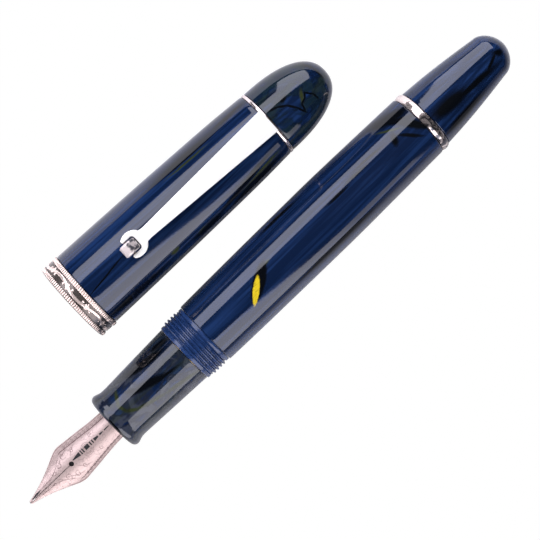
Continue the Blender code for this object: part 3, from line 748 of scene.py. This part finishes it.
def make_engraving():
    """A generic ornament: border lines with waves between them, leaf scrolls, rings and a row of bars, and a dark
    strip of painted shade inside the slit.
    """
    lines = bmesh.new()
    for side in (-1, 1):
        for inset, width, start in ((1.12 if side > 0 else 0.75, 0.15, 11.2), (0.2, 0.07, 8.5)):
            ribbon(lines, border_line(inset, start, 23.6, side), width)
        ribbon(lines, [(x, side * (0.5 + 0.06 * (x - 3.0))) for x in steps(3.2, 6.4, 12)], 0.09)
        for x in steps(13.0, 22.2, 9):
            half = curve_through(NIB_HALF_WIDTH, x) - 0.7
            for turn in (0, 180):
                wave = spiral((x, side * half), 0.08, 0.4, turn, 210 * side, 12)
                ribbon(lines, wave, tapered(wave, 0.08))
        for centre, size, start, sweep in (
            ((9.6, 1.5), 0.85, 20, 460), ((8.0, 1.0), 0.55, 200, -400), ((11.6, 2.4), 0.75, 250, 420),
            ((13.8, 2.0), 0.55, 120, -430), ((6.5, 0.75), 0.4, 60, 380), ((18.6, 1.75), 0.5, 200, 420),
        ):
            curl = [(x, side * y) for x, y in spiral(centre, 0.06, size, start, sweep, 26)]
            ribbon(lines, curl, tapered(curl, 0.09))
        for start, end, bend in (
            ((6.0, 0.55), (11.0, 3.2), -0.5), ((9.0, 0.7), (12.9, 2.9), 0.5), ((12.6, 1.1), (15.0, 2.6), 0.3),
        ):
            stem = []
            for t in steps(0, 1, 14):
                x = start[0] + (end[0] - start[0]) * t
                y = start[1] + (end[1] - start[1]) * t + bend * math.sin(math.pi * t)
                stem.append((x, side * y))
            ribbon(lines, stem, tapered(stem, 0.08))
        for radius in (0.75, 1.0, 1.3):
            turns = steps(0.45, math.pi - 0.45, 22)
            ribbon(lines, [(16.3 + radius * math.cos(a), side * radius * math.sin(a)) for a in turns], 0.055)
    finish_piece("nib_engraving", lines, ENGRAVED, PEN, "nib_unit")
    inlay_and_slit_shade = bmesh.new()
    ribbon(inlay_and_slit_shade, [(x, INLAY_SIDE) for x in steps(12.6, 14.55, 8)], steps(0.15, 0.9, 8), INLAY_LIFT)
    for start, end, wide in (
        (14.8, 15.08, 0.95), (15.3, 15.6, 0.95), (16.0, 17.05, 0.85), (17.35, 17.65, 0.85),
        (17.95, 18.23, 0.8),
    ):
        ribbon(inlay_and_slit_shade, [(start, INLAY_SIDE), (end, INLAY_SIDE)], wide, INLAY_LIFT)
    for start, end, wide in ((18.5, 19.6, 0.7), (20.0, 20.9, 0.4), (21.3, 22.6, 0.26)):
        widths = [wide * share for share in (1.0, 0.9, 0.75, 0.6, 0.5)]
        ribbon(inlay_and_slit_shade, [(x, INLAY_SIDE) for x in steps(start, end, 4)], widths, INLAY_LIFT)
    ribbon(inlay_and_slit_shade, [(1.0, 0.24), (2.4, 0.4), (3.6, 0.5)], [0.12, 0.42, 0.1], INLAY_LIFT)
    # A dark strip sunk inside the slit, where there is only a gap: painted shade.
    ribbon(inlay_and_slit_shade, [(x, 0.0) for x in steps(1.6, 11.2, 24)], SLIT_WIDTH, -0.06, -0.16)
    finish_piece("nib_inlay_and_slit_shade", inlay_and_slit_shade, INLAID_AND_SLIT_SHADE, PEN, "nib_unit")


def make_feed():
    across = 20
    zone = (13.4, 21.4)
    fins = 16
    pitch = (zone[1] - zone[0]) / fins
    rows = [(station, 0.0) for station in steps(6.0, 13.2, 24)]
    for i in range(fins):
        start = zone[0] + i * pitch
        gap = 0.55 * pitch
        for offset, inset in ((0.0, 0.0), (0.03, 0.7), (gap, 0.7), (gap + 0.03, 0.0), (0.97 * pitch, 0.0)):
            rows.append((start + offset, inset))
    rows += [(station, 0.0) for station in steps(zone[1] + 0.1, NIB_REAR, 12)]
    below = NIB_THICKNESS + NIB_FEED_GAP
    sections = []
    for station, inset in rows:
        half = curve_through(FEED_HALF_WIDTH, station) - inset / 2
        depth = curve_through(FEED_DEPTH, station) + inset
        top = [(station, half * y, nib_height(station, half * y, below)) for y in steps(-1, 1, across)]
        side = top[-1][2]
        belly = []
        for turn in steps(0, math.pi, across + 2)[1:-1]:
            belly.append((station, half * math.cos(turn), side + (depth - side) * math.sin(turn)))
        sections.append(top + belly)
    finish_piece("ink_feed", loft(sections), BLACK, PEN, "nib_unit", ["feed"], sharp=30)


def make_grip_unit():
    outside = along(SECTION, 23.15, 26.9, 0.15) + along(SECTION, 27.5, 43.3, 0.8)
    inside = [(43.35, 6.6), (43.35, 4.95), (37.5, 4.95), (37.5, 4.5), (23.8, 4.5), (23.25, 4.75)]
    turned(
        "grip_section", outside + inside, SECTION_RESIN, PEN, "grip", ["section"], ease=0.06,
    )
    make_nib()
    make_engraving()
    make_feed()
    turned(
        "nib_sleeve",
        [(25.0, 3.95), (25.0, 4.4), (37.2, 4.4), (37.2, 1.7), (41.3, 1.7), (41.7, 1.45), (41.7, 0.9),
         (35.0, 0.9), (35.0, 3.95)],
        BLACK, PEN, "nib_unit", ["nib_housing"], around=72,
    )
    turned(
        "grip_bush",
        [(37.6, 4.2), (37.6, 4.85), (43.45, 4.85), (43.45, 5.15), *thread(44.0, 50.0, 5.15, 5.45, BUSH_PITCH),
         (51.2, 5.15), (51.6, 4.9), (51.6, 4.2)],
        BRASS, PEN, "grip", ["section_thread_bush"], ease=0, sharp=40,
    )


# ---------------- the converter
def make_converter():
    turned(
        "ink_tube",
        [(38.7, 1.85), (38.7, 3.0), (39.3, 3.4), (43.6, 3.4), (43.8, 3.32), (44.4, 3.32), (44.6, 3.4),
         (70.0, 3.4), (70.0, 3.1), (79.4, 3.1), (79.4, 2.7), (43.5, 2.7), (43.5, 1.85)],
        CLEAR, PEN, "converter", ["converter_tube"], around=96,
    )
    turned(
        "tube_sleeve",
        [(70.1, 3.2), (70.1, 3.7), (70.6, 3.8), (71.4, 3.8), (71.6, 3.7), (71.9, 3.7), (72.1, 3.8),
         (77.9, 3.8), (78.1, 3.7), (78.4, 3.7), (78.6, 3.8), (79.6, 3.8), (80.1, 3.7), (80.1, 2.75),
         (79.5, 2.75), (79.5, 3.2)],
        BRIGHT, PEN, "converter", ["converter_sleeve"], around=96,
    )

    def knurl(x, angle):
        if not 82.0 < x < 95.6:
            return 0.0
        return -0.09 * (0.5 + 0.5 * math.cos(36 * angle))

    grip = [(x, 3.3) for x in (81.0, 81.9, 82.1, 88.8, 95.5, 95.7, 96.2)]
    turned(
        "turning_knob",
        [(92.5, 0.0), (92.5, 1.35), (70.5, 1.35), (70.5, 2.4), (80.3, 2.4), (80.3, 3.15), *grip,
         (97.0, 2.9), (97.0, 0.0)],
        BLACK, PEN, "knob", ["converter_knob"], around=288, ripple=knurl, ease=0,
    )
    turned(
        "piston_head",
        [(63.0, 0.0), (63.0, 1.9), (63.5, 2.6), (64.0, 2.6), (64.3, 2.25), (65.2, 2.25), (65.5, 2.6),
         (66.0, 2.6), (66.5, 2.2), (66.5, 0.0)],
        RUBBER, PEN, "piston", ["piston_seal"], around=72,
    )
    screw = []
    for x in steps(69.0, 90.6, 260):
        screw.append((x, 1.2 - 0.16 * (0.5 + 0.5 * math.cos(TAU * x / 1.2))))
    turned(
        "piston_screw",
        [(66.6, 0.0), (66.6, 1.9), (67.2, 1.9), (67.2, 1.2), *screw, (91.0, 1.15), (91.4, 0.9), (91.4, 0.0)],
        PALE, PEN, "piston", ["piston_rod"], around=48, ease=0,
    )


# ---------------- the barrel unit
def make_barrel_unit():
    turned(
        "cap_thread_collar",
        [(43.45, 5.6), (43.45, 6.78), (43.52, 6.88), (43.65, 6.93), (44.2, 6.93),
         *thread(44.3, 48.4, 6.76, 7.22, THREAD_PITCH), (48.45, 6.98), (48.55, 7.02), (49.15, 7.02),
         (49.2, 6.98), (49.2, 6.2), (57.0, 6.2), (57.0, 5.6)],
        COLLAR_RESIN, PEN, "barrel", ["thread_collar"], around=160, ease=0, sharp=40,
    )
    turned(
        "barrel_body",
        [(49.3, 6.3), (49.3, 7.14), (49.42, 7.25), *along(BARREL, 49.8, 109.5), (109.65, 7.08), (109.65, 2.5),
         (108.2, 2.5), (108.2, 5.6), (57.2, 5.6), (57.2, 6.3)],
        BARREL_RESIN, PEN, "barrel", ["barrel"], around=192, ease=0.05,
    )
    crown = crowned(109.75, 111.65, 6.8, 0.44, 18)
    turned(
        "tail_band", [(109.75, 2.5), *crown, (111.65, 2.5)],
        RING_METAL, PEN, "barrel", ["tail_ring"], around=160, ease=0.04,
    )
    start = TAIL[-1][0]
    turned(
        "tail_dome",
        [(119.7, 0.0), (119.7, 2.5), (111.75, 2.5), (111.75, 6.75), *along(TAIL, 111.9, start - 0.5, 0.8),
         *dome(start, PEN_LENGTH, TAIL[-1][1], TAIL_FULLNESS)],
        TAIL_RESIN, PEN, "barrel", ["barrel_tail"], around=160, ease=0.04,
    )


# ---------------- the cap
BEADS = 110
BAND_RADIUS = 8.82
BAND_START, BAND_END = 1.12, 2.92
SCROLLS = 10


def beaded(name, low, high, radius, rise):
    """A milled ring: a rounded rim broken into small beads."""
    centre, half = (low + high) / 2, (high - low) / 2
    profile = [(low, radius - 0.45), (low, radius - 0.1)]
    profile += [(centre - half * math.cos(t), radius) for t in steps(0.12, math.pi - 0.12, 12)]
    profile += [(high, radius - 0.1), (high, radius - 0.45)]

    def bead(x, angle):
        across = (x - centre) / half
        if abs(across) >= 0.999:
            return 0.0
        around = abs((angle * BEADS / TAU) % 1.0 - 0.5) * 2
        return rise * arch(across) * arch(1.25 * around)

    turned(name, profile, BEAD_METAL, CAP, "cap", around=BEADS * 6, ripple=bead, ease=0)


def scroll_relief(x, angle):
    """Height of a generic running scroll of stems, curls, leaves and dots between the lip's beaded rims."""
    across = (x - BAND_START) / (BAND_END - BAND_START) * 2 - 1
    if abs(across) > 0.94:
        return 0.0
    turn = angle * SCROLLS / TAU
    cell = turn % 1.0
    length = TAU * BAND_RADIUS / SCROLLS / ((BAND_END - BAND_START) / 2)
    along_cell = (cell - 0.5) * length
    flip = 1 if int(turn) % 2 else -1
    y = across * flip

    def line(distance, width):
        return max(0.0, 1 - (distance / width) ** 2)

    def leaf(side):
        x, height = along_cell - 1.35 * side, y - 0.3 * side
        return max(0.0, 1 - (x * 1.4 + side * height) ** 2 / 0.16 - (height - 0.4 * side * x) ** 2 / 0.09)

    stem = line(y - 0.5 * math.cos(math.pi * cell), 0.34) if abs(across) < 0.9 else 0.0
    radius = math.hypot(along_cell, y + 0.12)
    turned_by = math.atan2(y + 0.12, along_cell) + math.pi
    curl = line(radius - 0.22 - 0.07 * turned_by, 0.2) if radius < 0.85 else 0.0
    dot = max(0.0, 1 - (along_cell**2 + (y - 0.72) ** 2) / 0.03)
    return 0.13 * math.sqrt(max(stem, curl, leaf(1), leaf(-1), dot))


def make_cap_band():
    rows = [(x, BAND_RADIUS - 0.02) for x in steps(BAND_START, BAND_END, 22)]
    turned(
        "lip_band",
        [(0.5, 7.6), (0.06, 7.62), (0.0, 7.68), (0.0, 8.6), (0.1, 8.7), (BAND_START - 0.05, 8.7), *rows,
         (BAND_END + 0.05, 8.7), (3.9, 8.7), (4.0, 8.66), (4.0, 8.35), (0.5, 8.35)],
        SCROLL_METAL, CAP, "cap", ["cap_band"], around=1080, ripple=scroll_relief, ease=0,
    )
    beaded("lip_front_beads", 0.1, 1.02, 8.9, 0.16)
    beaded("lip_rear_beads", 3.02, 3.95, 8.93, 0.16)


def make_cap():
    thread_rows = list(reversed(thread(1.7, 6.6, 7.4, 6.98, THREAD_PITCH, 12)))
    outside = along(CAP_OUTSIDE, 4.3, 52.85)
    turned(
        "cap_body",
        [(0.6, 7.5), (0.6, 8.25), (4.1, 8.25), (4.1, 8.6), (4.2, 8.74), *outside, (53.0, 7.42), (53.0, 2.35),
         (52.2, 2.35), (52.2, 6.55), (28.2, 6.55), (28.2, 7.28), (6.9, 7.28), *thread_rows, (1.5, 7.5)],
        CAP_RESIN, CAP, "cap", ["cap_shell"], around=192, ease=0, sharp=40,
    )
    make_cap_band()
    turned(
        "cap_liner",
        [(50.4, 0.0), (50.4, 5.6), (27.6, 5.6), (27.0, 6.72), (10.0, 6.72), (10.0, 7.18), (28.0, 7.18),
         (28.0, 6.45), (51.0, 6.45), (51.0, 0.0)],
        BLACK, CAP, "cap", ["inner_cap"], around=96,
    )
    crown = crowned(53.1, 53.8, 7.44, 0.14, 10)
    ring = turned(
        "clip_band", [(53.1, 2.35), *crown, (53.8, 2.35)],
        BRIGHT, CAP, "cap", ["clip_ring"], around=160, ease=0.03,
    )
    cut_away(ring, [block((52.5, -1.15, 6.48), (54.5, 1.15, 9.0))])
    turned(
        "finial_dome",
        [(61.5, 0.0), (61.5, 2.35), (53.9, 2.35), (53.9, 7.38),
         *dome(FINIAL_FRONT, CAP_LENGTH, FINIAL_RADIUS, FINIAL_FULLNESS, 40)],
        FINIAL_RESIN, CAP, "cap", ["cap_finial"], around=160, ease=0.04,
    )


# ---------------- the clip
CLIP_BOTTOM = -0.2
CLIP_THICKNESS = 0.9
CLIP_ROOT_WIDTH = 5.4
CLIP_NECK_WIDTH = 2.55
CLIP_NECK = 33.6
CLIP_EYE = 36.2
CLIP_EYE_RADIUS = 2.75
CLIP_END = 37.9
CLIP_SLOT_WIDTH = 3.1
CLIP_SLOT_END = 35.3
ROLLER_REACH = 37.3
EAR_DROOP = 0.2


def clip_outline():
    """The clip seen from above, from the root round the eye and its slot and back."""
    start = math.atan2(CLIP_NECK_WIDTH / 2, CLIP_EYE - CLIP_NECK)
    end = math.acos((CLIP_EYE - CLIP_END) / CLIP_EYE_RADIUS)
    neck = CLIP_NECK_WIDTH / 2
    half = [(0.0, CLIP_ROOT_WIDTH / 2), (-CLIP_NECK + 0.8, neck + 0.04), (-CLIP_NECK, neck + 0.12)]
    for turn in steps(start + 0.1, end, 26):
        half.append((-CLIP_EYE + CLIP_EYE_RADIUS * math.cos(turn), CLIP_EYE_RADIUS * math.sin(turn)))
    slot = CLIP_SLOT_WIDTH / 2
    half += [(-CLIP_END - 0.02, slot + 0.35), (-CLIP_END, slot + 0.1)]
    half += [(-CLIP_END + 0.15, slot), (-CLIP_EYE + 0.2, slot)]
    for turn in steps(0, math.pi / 2, 8)[1:]:
        half.append((-CLIP_SLOT_END - 0.6 + 0.6 * math.sin(turn), slot - 0.6 + 0.6 * math.cos(turn)))
    return half + [(x, -y) for x, y in reversed(half)]


def make_clip():
    bm = bmesh.new()
    face = bm.faces.new([bm.verts.new((x, y, CLIP_BOTTOM)) for x, y in clip_outline()])
    grown = bmesh.ops.extrude_face_region(bm, geom=[face])["geom"]
    moved = [item for item in grown if isinstance(item, bmesh.types.BMVert)]
    bmesh.ops.translate(bm, verts=moved, vec=(0, 0, CLIP_THICKNESS))
    rims = [edge for edge in bm.edges if abs(edge.verts[0].co.z - edge.verts[1].co.z) < 0.01]
    bmesh.ops.bevel(bm, geom=rims, offset=0.13, segments=4, profile=0.5, affect="EDGES")
    flats = [f for f in bm.faces if len(f.verts) > 4]
    bmesh.ops.triangulate(bm, faces=flats)
    for vert in bm.verts:
        past = abs(vert.co.y) - CLIP_SLOT_WIDTH / 2
        if vert.co.x < -CLIP_NECK and past > 0:
            vert.co.z -= EAR_DROOP * (past / (CLIP_EYE_RADIUS - CLIP_SLOT_WIDTH / 2)) ** 1.6
    arm = finish_piece("clip_blade", bm, CLIP_METAL, CLIP, "clip", ["clip_arm"], sharp=50)
    axle_height = CLIP_BOTTOM + CLIP_THICKNESS / 2
    cut_away(arm, [rod(0.32, 8.0, (-ROLLER_REACH, 0, axle_height), 24, sideways=True)])
    tang = block((-0.2, -1.0, -1.25), (0.2, 1.0, 0.1))
    bmesh.ops.bevel(tang, geom=list(tang.edges), offset=0.06, segments=2, affect="EDGES")
    finish_piece("clip_tang", tang, BRIGHT, CLIP, "clip")
    axle = rod(0.3, 4.6, (-ROLLER_REACH, 0, axle_height), 32, sideways=True)
    ends = [edge for edge in axle.edges if edge.calc_length() < 0.2]
    bmesh.ops.bevel(axle, geom=ends, offset=0.05, segments=2, affect="EDGES")
    finish_piece("roller_axle", axle, BRIGHT, CLIP, "clip", ["roller_pin"])


def make_roller():
    rim = [(-1.1, 1.72), (-0.95, 1.8), (0.0, 1.8), (0.95, 1.8), (1.1, 1.72)]
    turned(
        "clip_wheel",
        [(-1.1, 0.38), (-1.25, 0.55), (-1.25, 1.5), *rim, (1.25, 1.5), (1.25, 0.55), (1.1, 0.38)],
        ROLLER_METAL, ROLLER, "roller", ["clip_roller"], around=96, ease=0.08,
    )


make_grip_unit()
make_converter()
make_barrel_unit()
make_cap()
make_clip()
make_roller()

for node in ("tail_screw", "cap_stud"):
    frame["nodes"][node].data.materials.clear()
    frame["nodes"][node].data.materials.append(BRASS)


# ---------------- floor, light and camera
def map_range(tree, value, old, new):
    """A node that carries value from the old (low, high) to the new, and stops at their ends."""
    node = tree.nodes.new("ShaderNodeMapRange")
    tree.links.new(value, node.inputs["Value"])
    for name, setting in zip(RANGE_INPUTS, (*old, *new)):
        node.inputs[name].default_value = setting
    return node.outputs[0]


def glow(name, strength, colour=(1.0, 1.0, 1.0, 1.0), fade=None):
    """Light for a stage sheet. fade is two x in millimetres and the share of the strength left past them."""
    material = bpy.data.materials.new(name)
    material.use_nodes = True
    tree = material.node_tree
    tree.nodes.clear()
    emission = tree.nodes.new("ShaderNodeEmission")
    emission.inputs["Color"].default_value = colour
    emission.inputs["Strength"].default_value = strength
    if fade:
        place = tree.nodes.new("ShaderNodeTexCoord")
        parts = tree.nodes.new("ShaderNodeSeparateXYZ")
        tree.links.new(place.outputs["Object"], parts.inputs[0])
        start, end, left = fade
        dimmed = map_range(tree, parts.outputs["X"], (start * MM, end * MM), (strength, strength * left))
        tree.links.new(dimmed, emission.inputs["Strength"])
    output = tree.nodes.new("ShaderNodeOutputMaterial")
    tree.links.new(emission.outputs[0], output.inputs["Surface"])
    return material


def sheet(name, corners, material):
    """A flat stage piece through corners given in millimetres."""
    mesh = bpy.data.meshes.new(name)
    mesh.from_pydata([Vector(corner) * MM for corner in corners], [], [range(len(corners))])
    mesh.materials.append(material)
    obj = new_object(name, mesh)
    return obj


def backdrop_material():
    """The paper the camera sees, which is lit until it is white."""
    s = Shading("white_paper", (0.2, 0.2, 0.2, 1.0), 0.9)
    grain = s.noise(s.place, 0.2, 3.0)
    s.join(s.mix(grain, (0.1, 0.1, 0.1, 1.0), (0.08, 0.08, 0.08, 1.0)), s.shader.inputs["Base Color"])
    s.shader.inputs["Specular IOR Level"].default_value = 0.0
    s.shader.inputs["Emission Color"].default_value = (1.0, 1.0, 1.0, 1.0)
    s.shader.inputs["Emission Strength"].default_value = 1.0
    return s.material


def table_material():
    """The paper the pen's polish mirrors, with painted light and shade: bright around the pen and painted grey
    towards its edge on the -y side.
    """
    s = Shading("pale_table", (0.7, 0.7, 0.7, 1.0), 0.9)
    parts = s.parts(s.place)
    # Painted shade: the colour greys with distance from the pen towards -y and +x.
    painted_edge_shade = s.ramp(s.math("MULTIPLY_ADD", parts["X"], -0.5, parts["Y"]), -30.0, -110.0)
    s.join(s.mix(painted_edge_shade, (0.84, 0.83, 0.83, 1.0), (0.22, 0.22, 0.23, 1.0)), s.shader.inputs["Base Color"])
    s.shader.inputs["Specular IOR Level"].default_value = 0.0
    return s.material


STAGE_REACH = 2500.0
BACKDROP_HEIGHT = -0.08
TABLE_HEIGHT = -0.03
OVERHEAD_REACH = 380.0
OVERHEAD_HEIGHT = 760.0
NEAR_PANEL_Y = -510


def lying_square(name, reach, height, material):
    corners = [(x * reach, y * reach, height) for x, y in ((-1, -1), (1, -1), (1, 1), (-1, 1))]
    return sheet(name, corners, material)


backdrop = lying_square("backdrop", STAGE_REACH, BACKDROP_HEIGHT, backdrop_material())
backdrop.visible_glossy = False
backdrop.visible_diffuse = False
backdrop.visible_transmission = False
table = lying_square("table", STAGE_REACH, TABLE_HEIGHT, table_material())
table.visible_camera = False
overhead = lying_square("overhead_light", OVERHEAD_REACH, OVERHEAD_HEIGHT, glow("overhead_glow", 1.0))
overhead.visible_camera = False
overhead.visible_glossy = False
far_panel = sheet(
    "far_panel",
    [(-800, 214, 465), (800, 214, 465), (800, 620, 60), (240, 600, 80), (175, 425, 290), (-800, 425, 290)],
    glow("far_panel_glow", 3.9, (1.0, 1.0, 1.12, 1.0)),
)
near_panel = sheet(
    "near_panel",
    [(x, NEAR_PANEL_Y, z) for x, z in (
        (-800, 30), (60, 30), (120, 60), (120, 208), (51, 215), (32, 255), (23, 305), (-7, 518), (-26, 664),
        (-70, 771), (-800, 960),
    )],
    glow("near_panel_glow", 3.5, (1.0, 0.98, 1.05, 1.0), fade=(20, 75, 0.45)),
)
for panel in (far_panel, near_panel):
    panel.visible_camera = False

# A dark room, lighter straight overhead and towards the pen's tail
world = bpy.data.worlds.new("studio")
bpy.context.scene.world = world
world.use_nodes = True
tree = world.node_tree
direction = tree.nodes.new("ShaderNodeTexCoord")
parts = tree.nodes.new("ShaderNodeSeparateXYZ")
tree.links.new(direction.outputs["Generated"], parts.inputs[0])
strength = tree.nodes.new("ShaderNodeMath")
strength.operation = "MULTIPLY"
tree.links.new(map_range(tree, parts.outputs["Z"], (0.8, 1.0), (0.05, 0.3)), strength.inputs[0])
tree.links.new(map_range(tree, parts.outputs["X"], (0.0, 0.14), (1.0, 3.4)), strength.inputs[1])
tree.links.new(strength.outputs[0], tree.nodes["Background"].inputs["Strength"])

# The camera hangs over the pen, a little towards the nib, and the pen runs up to the right in its picture.
CAMERA_HEIGHT = 375.0
CAMERA_FROM_NIB = 55.0
CAMERA_ASIDE = 14.0
VIEW_CENTRE = (67.6, 0.0)
VIEW_WIDTH = 109.6
PEN_ANGLE = math.radians(44.18)
SENSOR_WIDTH = 36.0

camera = new_object("camera", bpy.data.cameras.new("camera"))
target = PEN @ Vector((VIEW_CENTRE[0] * MM, VIEW_CENTRE[1] * MM, 0.0))
camera.location = PEN @ Vector((CAMERA_FROM_NIB * MM, CAMERA_ASIDE * MM, CAMERA_HEIGHT * MM))
back = (camera.location - target).normalized()
right = Vector((math.cos(PEN_ANGLE), -math.sin(PEN_ANGLE), 0.0))
right = (right - right.dot(back) * back).normalized()
up = back.cross(right)
camera.rotation_mode = "QUATERNION"
camera.rotation_quaternion = Matrix((right, up, back)).transposed().to_quaternion()
distance = (camera.location - target).length
camera.data.sensor_width = SENSOR_WIDTH
camera.data.lens = SENSOR_WIDTH * distance / (VIEW_WIDTH * MM)
camera.data.clip_start = 0.01
camera.data.clip_end = 20.0
bpy.context.scene.camera = camera
bpy.context.scene.view_settings.view_transform = "Standard"
